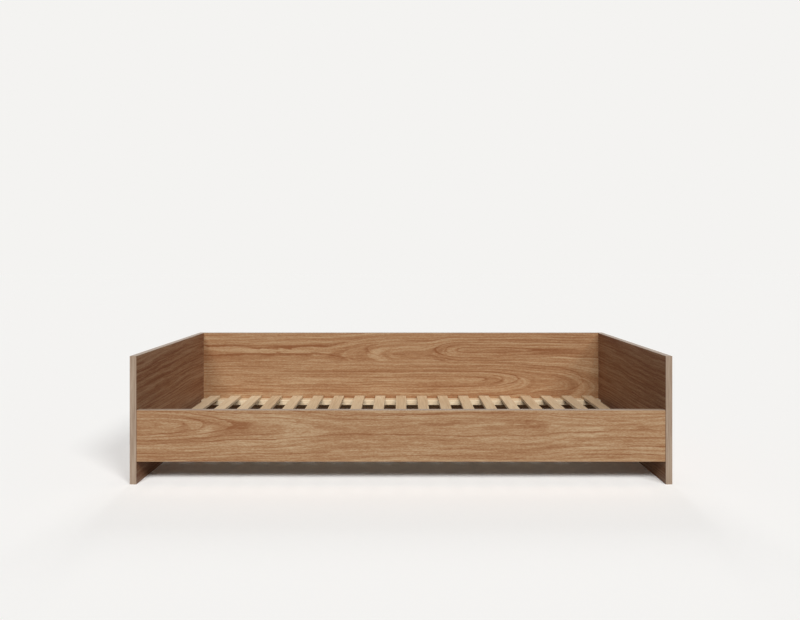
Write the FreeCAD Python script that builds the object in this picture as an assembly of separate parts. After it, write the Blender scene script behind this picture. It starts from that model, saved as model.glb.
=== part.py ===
"""Low slatted floor bed: four veneered boards, two ledgers and a row of slats.

Millimetres. X runs along the bed, Y from the open front to the back, Z up from the floor.
The origin is on the floor under the middle of the bed.
"""
import FreeCAD, Part
import math
import os

Vector = FreeCAD.Vector

# ---------------------------------------------------------------- driving dimensions
# Boards
well_length = 2000.0        # clear length between the side panels: the mattress's length
well_width = 900.0          # clear width from the front rail to the back panel: its width
board = 25.0                # thickness of the four boards
side_height = 485.0         # side panels and back panel reach this high
rail_height = 195.0         # front rail, bottom edge to top edge
floor_gap = 85.0            # floor to the rail's and the back panel's bottom edges
rail_setback = 3.0          # front rail's face behind the side panels' front edges
band = 1.0                  # thickness of the edge bands
edge_round = 0.8            # rounding of the bands' outer corners

# Slats and the ledgers that carry them
slat_count = 19
slat_width = 50.0
slat_thickness = 14.0
slat_round = 2.0            # eased long edges of a slat
slat_end_gap = 5.0          # end of a slat to the board in front of it
slat_side_gap = 35.0        # outermost slat's edge to the side panel
ledger_depth = 50.0
ledger_height = 25.0
ledger_drop = 126.0         # front rail's top edge down to the ledgers' top
ledger_end_gap = 2.0        # end of a ledger to the side panel
ledger_round = 1.5          # eased long edges of a ledger

# Cam joint at the ends of the rail and of the back panel
cam_bottom_inset = 27.0     # lowest cam above the board's bottom edge
cam_top_inset = 37.0        # highest cam below the board's top edge
cam_reach = 34.0            # cam's axis from the board's end
cam_radius = 7.4
cam_below_bolt = 4.3        # metal of the cam on the far side of the bolt
cam_face_recess = 0.3       # cam's face below the board's face
bolt_thread_radius = 3.15
bolt_bite = 11.0            # thread's length in the side panel
bolt_collar_radius = 3.8
bolt_collar = 3.0           # collar's length beside the side panel
bolt_shank_radius = 2.8
bolt_neck_radius = 1.6
bolt_neck = 8.0             # thin neck that passes the cam's wall
bolt_head_radius = 3.0
dowel_radius = 3.9
dowel_bite = 11.0           # dowel's length in the side panel
dowel_length = 30.0
dowel_chamfer = 1.0
dowel_pitch = 32.0          # dowel's distance from the cam next to it

# Screws
slat_screw_radius = 1.75
slat_screw_head_radius = 3.5
slat_screw_bite = 11.0      # screw's length in the ledger
ledger_screw_radius = 2.5
ledger_screw_head_radius = 5.0
ledger_screw_bite = 12.0    # screw's length in the board
ledger_screw_step = 3       # a ledger screw under every third slat

# Clearances
bore_clearance = 0.1        # bore's wall to the cam, bolt or dowel in it
bore_bottom_gap = 1.0       # free room past the end of a bolt, dowel or screw
cam_play = 0.3              # cam's walls to the bolt's head and neck

# ---------------------------------------------------------------- places that follow
side_depth = rail_setback + board + well_width + board
front_plane = -side_depth / 2
back_plane = side_depth / 2
rail_face = front_plane + rail_setback
rail_inner = rail_face + board
back_inner = back_plane - board
well_end = well_length / 2
rail_top = floor_gap + rail_height
ledger_top = rail_top - ledger_drop
ledger_bottom = ledger_top - ledger_height
slat_top = ledger_top + slat_thickness
slat_pitch = (well_length - 2 * slat_side_gap - slat_width) / (slat_count - 1)
slat_middles = [slat_side_gap + slat_width / 2 - well_end + n * slat_pitch for n in range(slat_count)]
ledger_middles = [rail_inner + ledger_depth / 2, back_inner - ledger_depth / 2]


# ---------------------------------------------------------------- shapes
def block(x0, x1, y0, y1, z0, z1):
    """A box between two corners."""
    return Part.makeBox(x1 - x0, y1 - y0, z1 - z0, Vector(x0, y0, z0))


def rod(radius, start, end):
    """A cylinder from one point to another."""
    run = end - start
    return Part.makeCylinder(radius, run.Length, start, run)


def turned(profile, start, direction, ball_radius=0):
    """A solid of revolution: (distance, radius) points along a direction from a start point.

    A ball can end it: its centre lies on the axis, at the last point's distance.
    """
    points = [Vector(radius, 0, distance) for distance, radius in [(profile[0][0], 0)] + profile]
    centre = Vector(0, 0, profile[-1][0])
    edges = []
    if ball_radius:
        neck = profile[-1][1]
        tip = centre + Vector(0, 0, ball_radius)
        points[-1] = Vector(neck, 0, centre.z - math.sqrt(ball_radius ** 2 - neck ** 2))
        edges = [Part.Arc(points[-1], centre + Vector(ball_radius, 0, 0), tip).toShape()]
        centre = tip
    elif profile[-1][1]:
        points.append(centre)
    lines = Part.makePolygon(points).Edges + edges + [Part.makeLine(centre, points[0])]
    solid = Part.Face(Part.Wire(lines)).revolve(Vector(0, 0, 0), Vector(0, 0, 1), 360)
    solid.Placement = FreeCAD.Placement(start, FreeCAD.Rotation(Vector(0, 0, 1), direction))
    return solid


def rounded(solid, radius, chosen):
    """The solid with a fillet on each straight edge that the test picks by its two ends."""
    edges = [edge for edge in solid.Edges if chosen(edge.Vertexes[0].Point, edge.Vertexes[-1].Point)]
    return solid.makeFillet(radius, edges)


def eased_bar(x0, x1, y0, y1, z0, z1, radius, along):
    """A bar with its four long edges eased. along is 0 for X and 1 for Y."""
    size = [x1 - x0, y1 - y0, z1 - z0]
    thin = min(size[1 - along], size[2])
    return rounded(block(x0, x1, y0, y1, z0, z1), min(radius, 0.4 * thin),
                   lambda a, b: abs(a[along] - b[along]) > 0.9 * size[along])


def without(solid, tools):
    """The solid with the tools cut away."""
    return solid.cut(tools) if tools else solid


def export(name, solids):
    """Writes one named piece, or a group of like pieces, and prints its volume."""
    shape = solids[0] if len(solids) == 1 else Part.makeCompound(solids)
    shape.exportStep(os.path.join("parts", name + ".step"))
    print(name, len(shape.Solids), "solids", round(sum(s.Volume for s in shape.Solids) / 1000, 2), "cm3")


# ---------------------------------------------------------------- cam joint
class Joint:
    """One fitting place: the end of a rail or back panel against a side panel."""

    def __init__(self, side, board_middle, height):
        self.side = side
        self.face = Vector(side * well_end, board_middle, height)
        self.outward = Vector(side, 0, 0)

    def along(self, distance):
        """The point this far outward from the side panel's inner face. Negative is in the rail."""
        return self.face + self.outward * distance


def heights(bottom, top, middle_cam):
    """Heights of the cams and of the dowels on a board's end."""
    lowest = bottom + cam_bottom_inset
    highest = top - cam_top_inset
    cams = [lowest, (lowest + highest) / 2, highest] if middle_cam else [lowest, highest]
    return cams, [lowest + dowel_pitch, highest - dowel_pitch]


def joints(board_middle, bottom, top, middle_cam):
    """The cam joints and the dowel joints of both ends of one board."""
    cams, dowels = heights(bottom, top, middle_cam)
    return ([Joint(side, board_middle, height) for side in (-1, 1) for height in cams],
            [Joint(side, board_middle, height) for side in (-1, 1) for height in dowels])


def cam_lock(joint):
    """A locked cam: an off-centre pocket holds the bolt's ball, and a slot lets its neck turn in."""
    pocket_radius = cam_radius - 2.4
    off_centre = 0.8
    head_room = bolt_head_radius + cam_play
    neck_room = bolt_neck_radius + cam_play
    face = board / 2 - cam_face_recess
    cam = rod(cam_radius, Vector(0, 0, -cam_below_bolt), Vector(0, 0, face))
    pocket = rod(pocket_radius, Vector(-off_centre, 0, -head_room), Vector(-off_centre, 0, head_room))
    slot = Part.makeCylinder(2 * cam_radius, 2 * neck_room, Vector(0, 0, -neck_room), Vector(0, 0, 1), 200)
    slot.rotate(Vector(0, 0, 0), Vector(0, 0, 1), -25)
    mouth_angle = math.radians(165)
    mouth = rod(head_room, Vector(0, 0, 0),
                Vector(math.cos(mouth_angle), math.sin(mouth_angle), 0) * 2 * cam_radius)
    slot = slot.cut(rod(off_centre, Vector(0, 0, -neck_room), Vector(0, 0, neck_room)))
    driver_width = 1.4
    driver_length = cam_radius + 0.6
    driver_depth = 2.5
    cross = [block(-length / 2, length / 2, -width / 2, width / 2, face - driver_depth, face + 1)
             for length, width in ((driver_length, driver_width), (driver_width, driver_length))]
    cam = cam.cut([pocket, slot, mouth] + cross)
    cam = max(cam.Solids, key=lambda solid: solid.Volume)
    # The cam's own X points at the side panel, and its face looks to the back of the bed.
    turn = FreeCAD.Rotation(joint.outward, Vector(0, 0, 0), Vector(0, 1, 0), "XZY")
    cam.Placement = FreeCAD.Placement(joint.along(-cam_reach), turn)
    return cam


def cam_bore(joint):
    """The round bore for a cam, from the board's rear face to past the bolt's axis."""
    middle = joint.along(-cam_reach)
    depth = cam_below_bolt + bore_clearance
    return rod(cam_radius + bore_clearance, middle - Vector(0, depth, 0), middle + Vector(0, board, 0))


def cam_bolt(joint):
    """The bolt: thread, collar, shank, thin neck and ball head, which pulls against the cam."""
    ball = cam_reach - cam_radius / 14
    neck_start = ball - bolt_neck
    profile = [(-bolt_bite, bolt_thread_radius - 0.6), (0.6 - bolt_bite, bolt_thread_radius),
               (0, bolt_thread_radius), (0, bolt_collar_radius), (bolt_collar, bolt_collar_radius),
               (bolt_collar, bolt_shank_radius), (neck_start, bolt_shank_radius),
               (neck_start + bolt_shank_radius - bolt_neck_radius, bolt_neck_radius),
               (ball, bolt_neck_radius)]
    return turned(profile, joint.along(0), -joint.outward, ball_radius=bolt_head_radius)


def bolt_bores(joint):
    """The bore in the side panel, and the bore from the board's end to the cam."""
    in_side = rod(bolt_thread_radius + bore_clearance, joint.along(-1),
                  joint.along(bolt_bite + bore_bottom_gap))
    in_end = rod(bolt_collar_radius + bore_clearance, joint.along(1), joint.along(-cam_reach))
    return in_side, in_end


def dowel(joint):
    """A beech dowel with chamfered ends."""
    tip = dowel_radius - dowel_chamfer
    profile = [(0, tip), (dowel_chamfer, dowel_radius), (dowel_length - dowel_chamfer, dowel_radius),
               (dowel_length, tip)]
    return turned(profile, joint.along(dowel_bite), -joint.outward)


def dowel_bores(joint):
    """The bore in the side panel, and the bore in the board's end."""
    radius = dowel_radius + bore_clearance
    in_side = rod(radius, joint.along(-1), joint.along(dowel_bite + bore_bottom_gap))
    in_end = rod(radius, joint.along(1), joint.along(dowel_bite - dowel_length - bore_bottom_gap))
    return in_side, in_end


# ---------------------------------------------------------------- screws
def screw(radius, head_radius, length, head, direction):
    """A countersunk screw with its flat head at a point. The tip is a cone."""
    profile = [(0, head_radius), (head_radius - radius, radius), (length - 2 * radius, radius),
               (length, 0)]
    return turned(profile, head, direction)


def screw_hole(radius, head_radius, length, head, direction):
    """The countersunk hole that such a screw fills, with the bore's clearance round it."""
    gap = bore_clearance
    profile = [(-1, head_radius + gap), (0, head_radius + gap),
               (head_radius - radius, radius + gap), (length + bore_bottom_gap, radius + gap)]
    return turned(profile, head, direction)


def slat_screws(make, slat_middle):
    """Both screws of one slat, or their holes: one down into each ledger."""
    length = slat_thickness + slat_screw_bite
    return [make(slat_screw_radius, slat_screw_head_radius, length,
                 Vector(slat_middle, ledger_middle, slat_top), Vector(0, 0, -1))
            for ledger_middle in ledger_middles]


def ledger_screws(make, ledger_face, direction):
    """The screws of one ledger, or their holes: through its depth into the board behind it.

    Each sits a quarter of a slat's width beside a slat's middle, clear of that slat's own screw.
    """
    length = ledger_depth + ledger_screw_bite
    return [make(ledger_screw_radius, ledger_screw_head_radius, length,
                 Vector(middle + slat_width / 4, ledger_face, ledger_bottom + ledger_height / 2),
                 Vector(0, direction, 0))
            for middle in slat_middles[::ledger_screw_step]]


# ---------------------------------------------------------------- pieces
def side_panel(side, bores):
    """A side panel's core. The bands cover its front, rear and top edges."""
    inner = side * well_end
    outer = side * (well_end + board)
    core = block(min(inner, outer), max(inner, outer), front_plane + band, back_plane - band,
                 0, side_height - band)
    return without(core, bores)


def side_bands(side):
    """Front and rear bands of the full height, and the top band between them."""
    inner = side * well_end
    outer = side * (well_end + board)
    x0, x1 = min(inner, outer), max(inner, outer)
    radius = min(edge_round, 0.8 * band)
    front = rounded(block(x0, x1, front_plane, front_plane + band, 0, side_height), radius,
                    lambda a, b: a.y == b.y == front_plane and a.x == b.x)
    rear = rounded(block(x0, x1, back_plane - band, back_plane, 0, side_height), radius,
                   lambda a, b: a.y == b.y == back_plane and a.x == b.x)
    top = rounded(block(x0, x1, front_plane + band, back_plane - band, side_height - band, side_height),
                  radius, lambda a, b: a.z == b.z == side_height and a.x == b.x)
    return [front, rear, top]


def cross_board(y0, bottom, top, cut):
    """The core of the front rail or the back panel, between the side panels."""
    core = block(-well_end, well_end, y0, y0 + board, bottom + band, top - band)
    return without(core, cut)


def cross_bands(y0, bottom, top):
    """The bottom band and the top band of the front rail or the back panel."""
    radius = min(edge_round, 0.8 * band)
    low = rounded(block(-well_end, well_end, y0, y0 + board, bottom, bottom + band), radius,
                  lambda a, b: a.z == b.z == bottom and a.y == b.y)
    high = rounded(block(-well_end, well_end, y0, y0 + board, top - band, top), radius,
                   lambda a, b: a.z == b.z == top and a.y == b.y)
    return [low, high]


def ledger(y0, holes):
    """A ledger under the slats' ends, screwed to the board beside it."""
    bar = eased_bar(-well_end + ledger_end_gap, well_end - ledger_end_gap, y0, y0 + ledger_depth,
                    ledger_bottom, ledger_top, ledger_round, along=0)
    return without(bar, holes)


def slat(middle):
    """A flat slat that runs from front to back and lies on both ledgers."""
    bar = eased_bar(middle - slat_width / 2, middle + slat_width / 2,
                    rail_inner + slat_end_gap, back_inner - slat_end_gap,
                    ledger_top, slat_top, slat_round, along=1)
    return without(bar, slat_screws(screw_hole, middle))


# ---------------------------------------------------------------- assembly
os.makedirs("parts", exist_ok=True)

rail_cams, rail_dowels = joints(rail_face + board / 2, floor_gap, rail_top, middle_cam=False)
back_cams, back_dowels = joints(back_inner + board / 2, floor_gap, side_height, middle_cam=True)
all_cams = rail_cams + back_cams
all_dowels = rail_dowels + back_dowels

front_face = rail_inner + ledger_depth
rear_face = back_inner - ledger_depth
slat_holes = [hole for middle in slat_middles for hole in slat_screws(screw_hole, middle)]
front_holes = ledger_screws(screw_hole, front_face, -1)
rear_holes = ledger_screws(screw_hole, rear_face, 1)

for side, name in ((-1, "left"), (1, "right")):
    bores = [bolt_bores(joint)[0] for joint in all_cams if joint.side == side]
    bores += [dowel_bores(joint)[0] for joint in all_dowels if joint.side == side]
    export("side_panel_" + name, [side_panel(side, bores)])
    export("side_bands_" + name, side_bands(side))

for name, y0, top, cams, dowels, holes in (
        ("front_rail", rail_face, rail_top, rail_cams, rail_dowels, front_holes),
        ("back_panel", back_inner, side_height, back_cams, back_dowels, rear_holes)):
    cut = [cam_bore(joint) for joint in cams] + [bolt_bores(joint)[1] for joint in cams]
    cut += [dowel_bores(joint)[1] for joint in dowels]
    export(name, [cross_board(y0, floor_gap, top, cut + holes)])
    export(name + "_bands", cross_bands(y0, floor_gap, top))

export("ledger_front", [ledger(rail_inner, slat_holes + front_holes)])
export("ledger_rear", [ledger(rear_face, slat_holes + rear_holes)])
for number, middle in enumerate(slat_middles, start=1):
    export("slat_%02d" % number, [slat(middle)])

export("cam_locks", [cam_lock(joint) for joint in all_cams])
export("cam_bolts", [cam_bolt(joint) for joint in all_cams])
export("dowels", [dowel(joint) for joint in all_dowels])
export("slat_screws", [piece for middle in slat_middles for piece in slat_screws(screw, middle)])
export("ledger_screws", ledger_screws(screw, front_face, -1) + ledger_screws(screw, rear_face, 1))

print("outer size", 2 * (well_end + board), side_depth, side_height, "slat pitch", round(slat_pitch, 2))
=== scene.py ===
import math
from collections import namedtuple
import bpy
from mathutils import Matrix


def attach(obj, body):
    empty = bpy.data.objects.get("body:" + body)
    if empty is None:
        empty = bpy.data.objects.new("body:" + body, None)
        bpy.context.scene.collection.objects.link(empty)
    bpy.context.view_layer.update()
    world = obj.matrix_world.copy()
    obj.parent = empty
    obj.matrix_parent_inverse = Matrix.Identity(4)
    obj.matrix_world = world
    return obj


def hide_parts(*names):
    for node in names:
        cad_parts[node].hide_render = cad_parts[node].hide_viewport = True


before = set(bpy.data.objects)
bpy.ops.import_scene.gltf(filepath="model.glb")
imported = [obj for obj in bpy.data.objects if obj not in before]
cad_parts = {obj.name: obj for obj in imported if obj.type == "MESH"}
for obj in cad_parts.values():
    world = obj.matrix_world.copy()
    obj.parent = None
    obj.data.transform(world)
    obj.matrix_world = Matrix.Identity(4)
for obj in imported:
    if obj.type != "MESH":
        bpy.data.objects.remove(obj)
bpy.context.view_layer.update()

# ---------------------------------------------------------------- the bed's sizes in metres

MM = 0.001
half_board = 12.5 * MM
band = 1.0 * MM                 # thickness of the edge bands
well_end = 1000.0 * MM          # middle of the bed to a side panel's inner face
side_middle = 1012.5 * MM       # middle of the bed to the middle of a side panel's thickness
rail_middle = 461.0 * MM        # the same for the rail, to the front
back_middle = 464.0 * MM        # the same for the back panel, to the back
side_height = 485.0 * MM
floor_gap = 85.0 * MM           # floor to the rail's and the back panel's bottom edges
half_slat = 25.0 * MM           # half of a slat's width
slat_count = 19
first_slat = -940.0 * MM        # middle of the leftmost slat
slat_pitch = 1880.0 * MM / (slat_count - 1)
slat_top = 168.0 * MM
ledger_top = 154.0 * MM
ledger_mid_height = 141.5 * MM
ledger_middles = (-423.5 * MM, 426.5 * MM)     # front ledger and rear ledger
ledger_faces = (-398.5 * MM, 401.5 * MM)       # their faces that look into the bed


# ---------------------------------------------------------------- colours and finishes

def screen(red, green, blue):
    """A colour as it looks on screen, each part 0 to 255, as the light values that shaders take."""
    parts = [v / 255 for v in (red, green, blue)]
    return tuple(v / 12.92 if v <= 0.04045 else ((v + 0.055) / 1.055) ** 2.4 for v in parts) + (1.0,)


class Value:
    """A number inside a node tree. Python's signs between values add Math nodes."""

    def __init__(self, nodes, socket):
        self.nodes, self.socket = nodes, socket

    def maths(self, operation, *terms):
        return self.nodes.node("ShaderNodeMath", {"operation": operation}, dict(enumerate(terms)))

    def larger(self, other):
        return self.maths("MAXIMUM", self, other)

    def smaller(self, other):
        return self.maths("MINIMUM", self, other)

    def __add__(self, other):
        return self.maths("ADD", self, other)

    def __sub__(self, other):
        return self.maths("SUBTRACT", self, other)

    def __rsub__(self, other):
        return self.maths("SUBTRACT", other, self)

    def __mul__(self, other):
        return self.maths("MULTIPLY", self, other)

    def __truediv__(self, other):
        return self.maths("DIVIDE", self, other)

    def __abs__(self):
        return self.maths("ABSOLUTE", self)

    def whole(self):
        return self.maths("FLOOR", self)

    def past_whole(self):
        return self.maths("FRACT", self)

    def nearest_whole(self):
        return self.maths("ROUND", self)

    def root(self):
        return self.maths("SQRT", self)

    def power_of_e(self):
        return self.maths("EXPONENT", self)

    __radd__, __rmul__ = __add__, __mul__


class Nodes:
    """A node tree in the making."""

    def __init__(self, tree):
        self.tree = tree
        tree.nodes.clear()

    def node(self, kind, settings=None, inputs=None, out=0):
        """Adds a node: its settings first, then its sockets' values or links. Gives its output."""
        made = self.tree.nodes.new(kind)
        for name, value in (settings or {}).items():
            if name == "stops":
                stops = made.color_ramp.elements
                while len(stops) < len(value):
                    stops.new(0.5)
                for stop, (where, colour) in zip(stops, value):
                    stop.position, stop.color = where, colour
            else:
                setattr(made, name, value)
        for key, value in (inputs or {}).items():
            socket = self.pick(made.inputs, key)
            if isinstance(value, Value):
                self.tree.links.new(value.socket, socket)
            else:
                socket.default_value = value
        return Value(self, self.pick(made.outputs, out)) if made.outputs else None

    @staticmethod
    def pick(sockets, key):
        if isinstance(key, int):
            return sockets[key]
        return next(s for s in sockets if s.enabled and key in (s.identifier, s.name))

    def apart(self, where):
        """x, y and z of a vector."""
        return [self.node("ShaderNodeSeparateXYZ", inputs={"Vector": where}, out=axis) for axis in "XYZ"]

    def point(self, x, y, z):
        return self.node("ShaderNodeCombineXYZ", inputs={"X": x, "Y": y, "Z": z})

    def ease(self, value, low, high):
        """0 below low, 1 above high and a smooth rise between."""
        ends = {"Value": value, "From Min": low, "From Max": high}
        return self.node("ShaderNodeMapRange", {"interpolation_type": "SMOOTHSTEP"}, ends)


class Finish(Nodes):
    """What a material or the world is made of."""

    def __init__(self, owner):
        owner.use_nodes = True
        super().__init__(owner.node_tree)
        self.owner = owner

    def place(self):
        """The point's x, y and z in the object's own metres."""
        return self.apart(self.node("ShaderNodeTexCoord", out="Object"))

    def noise(self, x, y, z, detail=2.0, roughness=0.5):
        """Cloudy noise round 0.5, one cloud to each unit of x, y and z."""
        sizes = {"Vector": self.point(x, y, z), "Scale": 1.0, "Detail": detail, "Roughness": roughness}
        return self.node("ShaderNodeTexNoise", inputs=sizes)

    def luck(self, number):
        """A chance value from 0 to 1, the same wherever the number is the same."""
        return self.node("ShaderNodeTexWhiteNoise", {"noise_dimensions": "1D"}, {"W": number})

    def mix(self, share, first, second):
        """A colour: first where share is 0, second where it is 1."""
        ends = {"Factor_Float": share, "A_Color": first, "B_Color": second}
        return self.node("ShaderNodeMix", {"data_type": "RGBA"}, ends, "Result_Color")

    def ramp(self, value, *stops):
        return self.node("ShaderNodeValToRGB", {"stops": stops}, {0: value})

    def looked_at(self):
        """1 for rays from the camera, and for those that it sees in a mirror or through glass."""
        rays = ("Is Camera Ray", "Is Glossy Ray", "Is Transmission Ray")
        seen, mirrored, through = (self.node("ShaderNodeLightPath", out=ray) for ray in rays)
        return seen.larger(mirrored.larger(through))

    def skin(self, colour, roughness, relief, depth, **fixed):
        """Ends the finish: colour, roughness and a relief of that depth in metres on one surface."""
        bump = self.node("ShaderNodeBump", inputs={"Strength": 1.0, "Distance": depth, "Height": relief})
        sockets = {"Base Color": colour, "Roughness": roughness, "Normal": bump}
        sockets.update({name.replace("_", " "): value for name, value in fixed.items()})
        return self.close(self.node("ShaderNodeBsdfPrincipled", inputs=sockets))

    def blend_surfaces(self, share, first, second):
        """Ends the finish: the first surface where share is 0, the second where it is 1."""
        return self.close(self.node("ShaderNodeMixShader", inputs={0: share, 1: first, 2: second}))

    def close(self, surface):
        kind = "World" if isinstance(self.owner, bpy.types.World) else "Material"
        self.node(f"ShaderNodeOutput{kind}", inputs={"Surface": surface})
        return self.owner


class Shape(Nodes):
    """A Geometry Nodes tree in the making. Its inputs are named sizes in metres."""

    def __init__(self, name, *sizes):
        super().__init__(bpy.data.node_groups.new(name, "GeometryNodeTree"))
        face = self.tree.interface
        face.new_socket("Geometry", in_out="INPUT", socket_type="NodeSocketGeometry")
        face.new_socket("Geometry", in_out="OUTPUT", socket_type="NodeSocketGeometry")
        for size in sizes:
            face.new_socket(size, in_out="INPUT", socket_type="NodeSocketFloat")
        self.entry = self.tree.nodes.new("NodeGroupInput")

    def given(self, name):
        return Value(self, self.pick(self.entry.outputs, name))

    def close(self, shape, material):
        """Ends the tree: real faces instead of instances, and their material."""
        real = self.node("GeometryNodeRealizeInstances", inputs={"Geometry": shape})
        dressed = self.node("GeometryNodeSetMaterial", inputs={"Geometry": real, "Material": material})
        self.node("NodeGroupOutput", inputs={"Geometry": dressed})

    def make(self, name, points, **sizes):
        """A plain mesh object of what the tree makes on a mesh of points, at those sizes."""
        maker = bpy.data.objects.new(name + "_maker", points)
        bpy.context.scene.collection.objects.link(maker)
        modifier = maker.modifiers.new("shape", "NODES")
        modifier.node_group = self.tree
        for item in self.tree.interface.items_tree:
            if item.in_out == "INPUT" and item.name in sizes:
                modifier[item.identifier] = sizes[item.name]
        world_state = bpy.context.evaluated_depsgraph_get()
        mesh = bpy.data.meshes.new_from_object(maker.evaluated_get(world_state), depsgraph=world_state)
        bpy.data.objects.remove(maker)
        finishes = [material for material in mesh.materials if material]
        mesh.materials.clear()
        mesh.materials.append(finishes[0])
        mesh.polygons.foreach_set("material_index", [0] * len(mesh.polygons))
        piece = bpy.data.objects.new(name, mesh)
        bpy.context.scene.collection.objects.link(piece)
        return piece


def finish(name):
    return Finish(bpy.data.materials.new(name))


# ---------------------------------------------------------------- wood

veneer_thickness = 0.6 * MM
ring_pitch = 12.0 * MM
early_wood = (0.05, 0.35)       # where in a ring the open early wood is full, and where it has gone
wide_wander = 14.0 * MM         # how far slow waves shift the rings
short_wander = 5.0 * MM         # how far quick waves shift them

# A pattern's clouds to a metre along the grain, up the face and outward in the tree, its own place
# in the noise, and how fine and how rough the noise is.
Pattern = namedtuple("Pattern", "along up outward place detail roughness")
veneer_patterns = {
    "bands": Pattern(1.2, 10.0, 34.0, 0.0, 1.0, 0.5),
    "lines": Pattern(1.6, 45.0, 120.0, 4.0, 2.0, 0.75),
    "streaks": Pattern(13.0, 230.0, 60.0, 5.0, 2.0, 0.75),
    "flecks": Pattern(110.0, 420.0, 0.0, 7.0, 1.0, 0.6),
    "drift": Pattern(2.2, 9.0, 0.0, 9.0, 1.0, 0.5),
    "pores": Pattern(160.0, 2400.0, 0.0, 3.0, 1.0, 0.5),
}
# How much of each pattern shows in the grain, and how much darker three other things make it.
lighter_and_darker = {"bands": 0.35, "lines": 1.5, "streaks": 0.9, "flecks": 0.9, "drift": 0.1}
early_shade, pore_shade, knot_shade = 0.7, 0.15, 0.25
middle_tone = 0.57
oak_shades = (screen(123, 79, 49), screen(148, 112, 80), screen(172, 145, 114))


def leaf(f, along, up, height, depth, *bends):
    """How far from the tree's heart a point of a veneer leaf grew.

    The heart runs along the leaf at that height, that deep under it, and each bend takes it
    deeper between two places along the leaf: rising depth makes arches that close that way.
    """
    for start, end, change in bends:
        depth = change * f.ease(along, start, end) + depth
    off = up - height
    return (off * off + depth * depth).root()


def veneer_noise(f, pattern, along, up, growth, sheet):
    """One pattern on a sheet of veneer. Those that mostly follow the rings lie crosswise in it."""
    lengthwise = along * pattern.along
    crosswise = up * pattern.up + growth * pattern.outward
    ends = (crosswise, lengthwise) if pattern.outward > pattern.up else (lengthwise, crosswise)
    return f.noise(*ends, sheet + pattern.place, pattern.detail, pattern.roughness)


def oak_veneer(name, run, rise, through_axis, board_middle, leaves, seam, seed, knots=(),
               tone_and_painted_shade=(1.0, 1.0, 1.0), figure=1.0):
    """Flat-cut oak on a board's two faces, and chipboard where its edges and bores are cut.

    run, rise and through_axis say which of x, y and z goes along the grain, up the face and
    through the board. Of the two leaves, the second lies above the seam. Each board's veneer is a
    little lighter or redder than the next one's by the tone it is given; the side panels' much darker
    tone is painted shade, standing in for the shade on their inner faces. figure is how strongly its
    grain shows.
    """
    f = finish(name)
    places = dict(zip("XYZ", f.place()))
    along, up, through = (places[axis] for axis in (run, rise, through_axis))
    off_middle = abs(abs(through) - board_middle)
    face_edge = half_board - veneer_thickness
    on_face = f.ease(off_middle, face_edge - 0.1 * MM, face_edge)

    upper = f.ease(up, seam - 0.2 * MM, seam + 0.2 * MM)
    # Every board, face and leaf lies at a place of its own in the noise.
    sheet = through * 41.0 + seed + 7.0 * upper
    growth = leaf(f, along, up, *leaves[0])
    growth = growth + (leaf(f, along, up, *leaves[1]) - growth) * upper
    growth = growth + wide_wander * f.noise(along * 3.2, up * 9.0, sheet, detail=1.0)
    growth = growth + short_wander * f.noise(along * 13.0, up * 40.0, sheet, detail=1.0)

    knot = 0.0
    knot_stretch, ring_push = 4.0, 1.5
    for middle, height, size in knots:
        far, high = (along - middle) / (size * knot_stretch), (up - height) / size
        near = (-1.0 * (far * far + high * high)).power_of_e()
        growth = growth + ring_push * size * near
        knot = near + knot

    ring = growth / ring_pitch
    in_ring = ring.past_whole()
    ring_luck = f.luck(ring.whole() + seed)
    patch = f.ease(f.noise(along * 2.5, growth * 40.0, sheet + 2.0, detail=1.0), 0.35, 0.62)
    full, gone = early_wood
    early = (1.0 - f.ease(in_ring, full, gone)) * f.ease(in_ring, 0.0, full) * patch * ring_luck
    seen = {kind: veneer_noise(f, pattern, along, up, growth, sheet)
            for kind, pattern in veneer_patterns.items()}
    pore = f.ease(seen["pores"], 0.60, 0.75) * (0.35 + 0.65 * early)

    grain = sum(share * (seen[kind] - 0.5) for kind, share in lighter_and_darker.items())
    grain = grain - early_shade * early - pore_shade * pore - knot_shade * knot
    shades = [tuple(part * share for part, share in zip(shade, tone_and_painted_shade + (1.0,)))
              for shade in oak_shades]
    wood = f.ramp(middle_tone + figure * grain, *zip((0.0, 0.5, 1.0), shades))
    chips = f.noise(along * 420.0, up * 420.0, through * 420.0, detail=3.0, roughness=0.7)
    core = f.ramp(chips, (0.3, screen(120, 88, 58)), (0.7, screen(196, 164, 122)))
    colour = f.mix(on_face, core, wood)
    rough = 0.50 + 0.10 * pore + 0.12 * (seen["streaks"] - 0.5)
    relief = seen["streaks"] * 0.4 - pore * 0.6
    return f.skin(colour, rough, relief, depth=0.12 * MM, Specular_IOR_Level=0.22)


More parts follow.
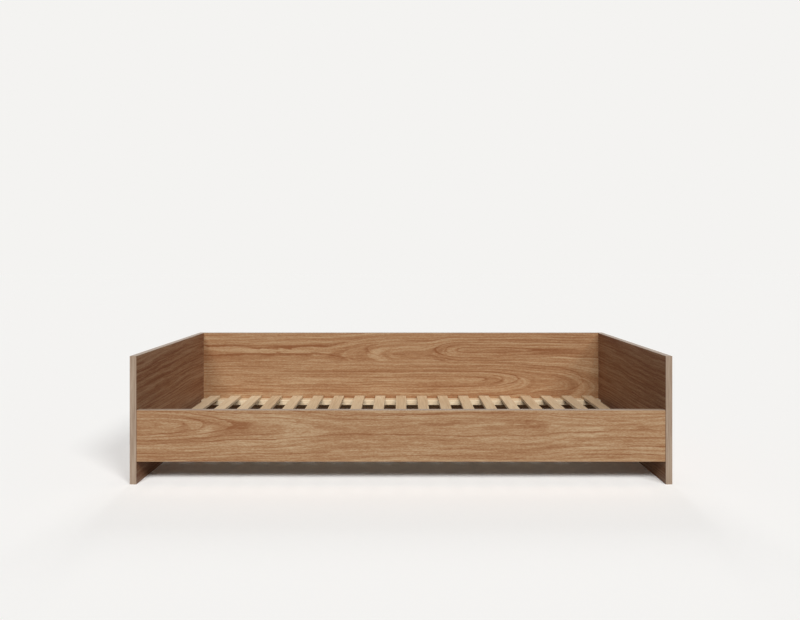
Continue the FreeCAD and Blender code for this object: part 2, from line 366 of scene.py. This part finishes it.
def edge_band(name, seed):
    """A thin strip of oak, a little greyer than the faces, with straight grain along the strip."""
    f = finish(name)
    x, y, z = f.place()
    on_side = f.ease(abs(x), well_end - 0.5 * MM, well_end - 0.1 * MM)
    top_band = side_height - band
    on_top = f.ease(z, top_band - 0.2 * MM, top_band)
    upright, lying_side, along_x = on_side * (1.0 - on_top), on_side * on_top, 1.0 - on_side
    strip_x = f.noise(x * 9.0, (y + z) * 300.0, z * 9.0 + seed, detail=3.0, roughness=0.6)
    strip_y = f.noise(y * 9.0, x * 190.0, seed, detail=3.0, roughness=0.6)
    strip_z = f.noise(z * 9.0, x * 190.0, y * 3.0 + seed, detail=3.0, roughness=0.6)
    grain = strip_x * along_x + strip_y * lying_side + strip_z * upright
    stops = (0.2, 0.5, 0.8)
    grey = f.ramp(grain, *zip(stops, (screen(125, 103, 85), screen(151, 130, 111),
                                      screen(169, 151, 133))))
    brown = f.ramp(grain, *zip(stops, (screen(120, 80, 52), screen(146, 108, 76),
                                       screen(166, 132, 100))))
    # The bands under the rail and the back panel are as brown as the veneer.
    above_low_bands = floor_gap + 2.0 * MM
    under_edge = along_x * (1.0 - f.ease(z, above_low_bands, above_low_bands + 0.2 * MM))
    # Hands and cloth rub the two long edges of every strip: they go paler, in places.
    cross_board_middle = rail_middle + (back_middle - rail_middle) * f.ease(y, -100.0 * MM, 100.0 * MM)
    board_middle = side_middle * on_side + cross_board_middle * along_x
    off_middle = abs(abs(x * on_side + y * along_x) - board_middle)
    rubbed_places = f.ease(f.noise(x * 30.0, y * 30.0, z * 30.0 + seed), 0.45, 0.65)
    worn = f.ease(off_middle, half_board - 0.9 * MM, half_board - 0.1 * MM) * rubbed_places
    colour = f.mix(0.35 * worn, f.mix(under_edge, grey, brown), screen(186, 170, 150))
    return f.skin(colour, 0.42 + 0.2 * (grain - 0.5) + 0.1 * worn, grain, depth=0.05 * MM)


def pale_wood(name, seed):
    """Planed pale softwood of slats, along y, and ledgers, along x, each stick a little different."""
    f = finish(name)
    x, y, z = f.place()
    stick = ((x - first_slat) / slat_pitch).nearest_whole()
    is_slat = f.ease(z, ledger_top + 0.05 * MM, ledger_top + 0.15 * MM)
    stick_luck = f.luck(stick * is_slat + 0.37)
    slat_grain = f.noise(y * 6.0, x * 260.0, z * 260.0 + stick_luck * 40.0, detail=2.0, roughness=0.6)
    ledger_grain = f.noise(x * 6.0, y * 260.0, z * 260.0 + seed, detail=2.0, roughness=0.6)
    grain = slat_grain * is_slat + ledger_grain * (1.0 - is_slat)
    colour = f.ramp(grain + 0.25 * (stick_luck - 0.5), (0.2, screen(180, 151, 116)),
                    (0.5, screen(205, 180, 146)), (0.8, screen(221, 202, 171)))
    # The slats' long edges are rubbed paler, in places.
    off_middle = abs(x - first_slat - stick * slat_pitch)
    rubbed_places = f.ease(f.noise(x * 25.0, y * 25.0, seed), 0.4, 0.65)
    worn = f.ease(off_middle, half_slat - 1.2 * MM, half_slat - 0.1 * MM) * is_slat * rubbed_places
    colour = f.mix(0.4 * worn, colour, screen(222, 205, 178))
    return f.skin(colour, 0.58 + 0.1 * (grain - 0.5) + 0.08 * worn, grain, depth=0.08 * MM)


def metal(name, colour, roughness, seed):
    """Bare or plated metal with a faint cloudiness in its colour and its polish."""
    f = finish(name)
    x, y, z = f.place()
    cloud = f.noise(x * 900.0, y * 900.0, z * 900.0 + seed, detail=2.0)
    dull = 0.86
    tone = f.mix(cloud, screen(*[part * dull for part in colour]), screen(*colour))
    return f.skin(tone, roughness + 0.15 * (cloud - 0.5), cloud, depth=0.01 * MM, Metallic=1.0)


def beech(name):
    """Turned beech, with its grain along x."""
    f = finish(name)
    x, y, z = f.place()
    grain = f.noise(x * 30.0, y * 900.0, z * 900.0, detail=2.0)
    colour = f.ramp(grain, (0.3, screen(170, 124, 84)), (0.7, screen(206, 164, 122)))
    return f.skin(colour, 0.6 + 0.1 * (grain - 0.5), grain, depth=0.1 * MM)


def dress(material, *nodes):
    """Gives CAD nodes their finish."""
    for node in nodes:
        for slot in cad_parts[node].material_slots:
            slot.material = material


# Each leaf: the heart's height, its depth under the leaf, and its bends, from one place along the
# leaf to another, with the change of depth.
rail_leaf = (0.228, 0.012, (-1.0, -0.60, 0.038), (-0.50, -0.20, 0.016), (-0.10, 0.45, -0.006),
             (0.46, 0.66, 0.011))
back_lower = (0.250, 0.010, (0.34, 0.80, 0.052), (0.76, 1.05, 0.045))
back_upper = (0.398, 0.085, (-0.40, 0.05, -0.040), (0.12, 0.34, -0.033), (0.50, 1.00, 0.010))
side_lower = (-0.080, 0.060, (-0.30, 0.30, 0.012))
side_upper = (0.640, 0.080, (-0.45, 0.20, 0.030))
# Each knot: its place along the rail, its height and its size.
rail_knots = ((-0.386, 0.236, 4.5 * MM), (-0.430, 0.220, 3.5 * MM), (0.440, 0.239, 5.0 * MM))
no_seam = 1.0                   # higher than any board

dress(oak_veneer("oak_front_rail", "X", "Z", "Y", rail_middle, (rail_leaf, rail_leaf), seam=no_seam,
                 seed=3.0, knots=rail_knots, tone_and_painted_shade=(1.11, 1.13, 1.13)), "front_rail")
dress(oak_veneer("oak_back_panel", "X", "Z", "Y", back_middle, (back_lower, back_upper), seam=0.343,
                 seed=11.0, tone_and_painted_shade=(1.04, 1.01, 0.97)), "back_panel")
# The side panels' darker tone is painted shade: it darkens both of their faces to stand in for the shade
# that falls on their inner faces.
dress(oak_veneer("oak_side_panels", "Y", "Z", "X", side_middle, (side_lower, side_upper), seam=0.262,
                 seed=23.0, tone_and_painted_shade=(0.89, 0.77, 0.77), figure=1.9),
      "side_panel_left", "side_panel_right")
dress(edge_band("oak_edge_band", seed=2.0), "side_bands_left", "side_bands_right",
      "front_rail_bands", "back_panel_bands")
dress(pale_wood("pale_planed_wood", seed=5.0), "ledger_front", "ledger_rear",
      *[f"slat_{number:02d}" for number in range(1, slat_count + 1)])
dress(metal("cast_cam_metal", (190, 188, 182), roughness=0.38, seed=1.0), "cam_locks")
dress(metal("bolt_steel", (200, 198, 192), roughness=0.25, seed=2.0), "cam_bolts")
dress(beech("beech_dowels"), "dowels")


# ---------------------------------------------------------------- screws

def cross_head_screws(material):
    """A countersunk screw with a cross recess and a thread, on every point, driven along "drive"."""
    names = ("shank", "head", "length", "pitch", "thread", "recess")
    g = Shape("cross_head_screws", *names)
    shank, head, length, pitch, thread, recess = (g.given(name) for name in names)

    # The screw is a tube of rings round Z, head at the origin. Each ring takes its own radius.
    sides, rows_to_a_turn = 20, 5.0
    bar = g.node("GeometryNodeMeshCylinder", {"fill_type": "NGON"},
                 {"Vertices": sides, "Side Segments": length / pitch * rows_to_a_turn,
                  "Radius": 1.0, "Depth": length})
    x, y, z = g.apart(g.node("GeometryNodeInputPosition"))
    along = z + length / 2.0
    turn = x.maths("ARCTAN2", y, x) / math.tau
    ridge = abs((along / pitch - turn).past_whole() - 0.5) * 2.0
    thread_start = head * 1.2
    threaded = g.ease(along, thread_start, thread_start + pitch)
    core = shank - thread * (1.0 - ridge) * threaded
    countersink, tip, point_radius = head - along, (length - along) / 2.0, shank * 0.04
    radius = core.larger(countersink).smaller(tip).larger(point_radius)
    screw = g.node("GeometryNodeSetPosition", inputs={
        "Geometry": bar, "Position": g.point(x * radius, y * radius, along)})

    blade_share, recess_narrowing = 0.22, 0.7
    blade = recess * blade_share
    blanks = [g.node("GeometryNodeMeshCube", inputs={"Size": g.point(wide, narrow, recess)})
              for wide, narrow in ((recess, blade), (blade, recess))]
    for blank in blanks:
        across, narrow, deep = g.apart(g.node("GeometryNodeInputPosition"))
        taper = 1.0 - recess_narrowing * deep.larger(0.0) / recess
        tapered = g.point(across * taper, narrow * taper, deep)
        arm = g.node("GeometryNodeSetPosition", inputs={"Geometry": blank, "Position": tapered})
        screw = g.node("GeometryNodeMeshBoolean", {"operation": "DIFFERENCE"},
                       {"Mesh 1": screw, "Mesh 2": arm})

    spin = g.node("FunctionNodeRandomValue", {"data_type": "FLOAT"},
                  {"Min_001": 0.0, "Max_001": math.tau, "Seed": 7}, "Value_001")
    spun = g.node("FunctionNodeEulerToRotation", inputs={"Euler": g.point(0.0, 0.0, spin)})
    drive = g.node("GeometryNodeInputNamedAttribute", {"data_type": "FLOAT_VECTOR"}, {"Name": "drive"})
    aimed = g.node("FunctionNodeAlignRotationToVector", {"axis": "Z"},
                   {"Rotation": spun, "Vector": drive})
    g.close(g.node("GeometryNodeInstanceOnPoints", inputs={
        "Points": g.given("Geometry"), "Instance": screw, "Rotation": aimed}), material)
    return g


def driven_points(name, places):
    """A mesh of loose points, each with the way its screw is driven."""
    mesh = bpy.data.meshes.new(name)
    mesh.from_pydata([place for place, _ in places], [], [])
    drive = mesh.attributes.new("drive", "FLOAT_VECTOR", "POINT")
    drive.data.foreach_set("vector", [part for _, way in places for part in way])
    return mesh


slat_middles = [first_slat + slat_pitch * number for number in range(slat_count)]
down, to_front, to_back = (0.0, 0.0, -1.0), (0.0, -1.0, 0.0), (0.0, 1.0, 0.0)
slat_points = driven_points("slat_screw_points", [
    ((x, y, slat_top), down) for x in slat_middles for y in ledger_middles])
# Under every third slat, a quarter of its width beside its middle, clear of the slat's own screw.
ledger_points = driven_points("ledger_screw_points", [
    ((x + half_slat / 2, y, ledger_mid_height), way)
    for y, way in zip(ledger_faces, (to_front, to_back)) for x in slat_middles[::3]])
screws = cross_head_screws(metal("yellow_zinc_screws", (206, 184, 132), roughness=0.28, seed=3.0))
for piece, node in (
    (screws.make("slat_screws_cross_head", slat_points, shank=1.75 * MM, head=3.5 * MM,
                 length=25.0 * MM, pitch=2.2 * MM, thread=0.5 * MM, recess=3.9 * MM), "slat_screws"),
    (screws.make("ledger_screws_cross_head", ledger_points, shank=2.5 * MM, head=5.0 * MM,
                 length=62.0 * MM, pitch=3.0 * MM, thread=0.7 * MM, recess=5.4 * MM), "ledger_screws"),
):
    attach(piece, "root")
    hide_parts(node)


# ---------------------------------------------------------------- camera, floor and light

camera = bpy.data.objects.new("camera", bpy.data.cameras.new("camera"))
camera.location = (0.0, -3.1925, 0.8285)
camera.rotation_euler = (math.radians(90), 0, 0)
camera.data.sensor_width = 36.0
camera.data.lens = 32.36
camera.data.shift_x, camera.data.shift_y = -0.0013, -0.0561
camera.data.clip_end = 200.0
bpy.context.scene.collection.objects.link(camera)
bpy.context.scene.camera = camera
bpy.context.scene.view_settings.view_transform = "Standard"

reach = 60.0                    # middle of the floor to its edges
floor_mesh = bpy.data.meshes.new("floor")
floor_mesh.from_pydata([(-reach, -reach, 0), (reach, -reach, 0), (reach, reach, 0), (-reach, reach, 0)],
                       [], [(0, 1, 2, 3)])
floor = bpy.data.objects.new("floor", floor_mesh)
bpy.context.scene.collection.objects.link(floor)

# The floor and the studio look nearly white, and throw less light back at the bed than that.
floor_finish = finish("studio_floor")
floor_grey = 0.28
pale = floor_finish.node("ShaderNodeBsdfDiffuse", inputs={"Color": screen(255, 254, 252)})
quiet = floor_finish.node("ShaderNodeBsdfDiffuse", inputs={"Color": (floor_grey,) * 3 + (1.0,)})
floor_mesh.materials.append(floor_finish.blend_surfaces(floor_finish.looked_at(), quiet, pale))

studio_white = screen(244, 243, 241)
dome_share = 0.078
studio = Finish(bpy.data.worlds.new("studio"))
bpy.context.scene.world = studio.owner
lit = studio.node("ShaderNodeBackground", inputs={"Color": (1.0, 1.0, 1.0, 1.0), "Strength": dome_share})
shown = studio.node("ShaderNodeBackground", inputs={"Color": studio_white, "Strength": 1.0})
studio.blend_surfaces(studio.looked_at(), lit, shown)

# Each lamp: degrees round from the front towards the right, degrees up, how wide it looks from
# the bed in degrees, and its share of the light on the open floor.
lamps = {
    "front_softbox_left": (-13, 36, 16, 0.276),
    "front_softbox_middle": (7, 38, 14, 0.260),
    "front_softbox_right": (35, 36, 16, 0.214),
    "rear_softbox": (180, 26, 16, 0.077),
}
for name, (round_from_front, up_angle, width, share) in lamps.items():
    lamp = bpy.data.lights.new(name, "SUN")
    lamp.angle = math.radians(width)
    lamp.energy = math.pi * share / math.sin(math.radians(up_angle))
    holder = bpy.data.objects.new(name, lamp)
    holder.rotation_euler = (math.radians(90 - up_angle), 0, math.radians(round_from_front))
    # The rear lamp would glare in the bands along the top.
    holder.visible_glossy = name != "rear_softbox"
    bpy.context.scene.collection.objects.link(holder)
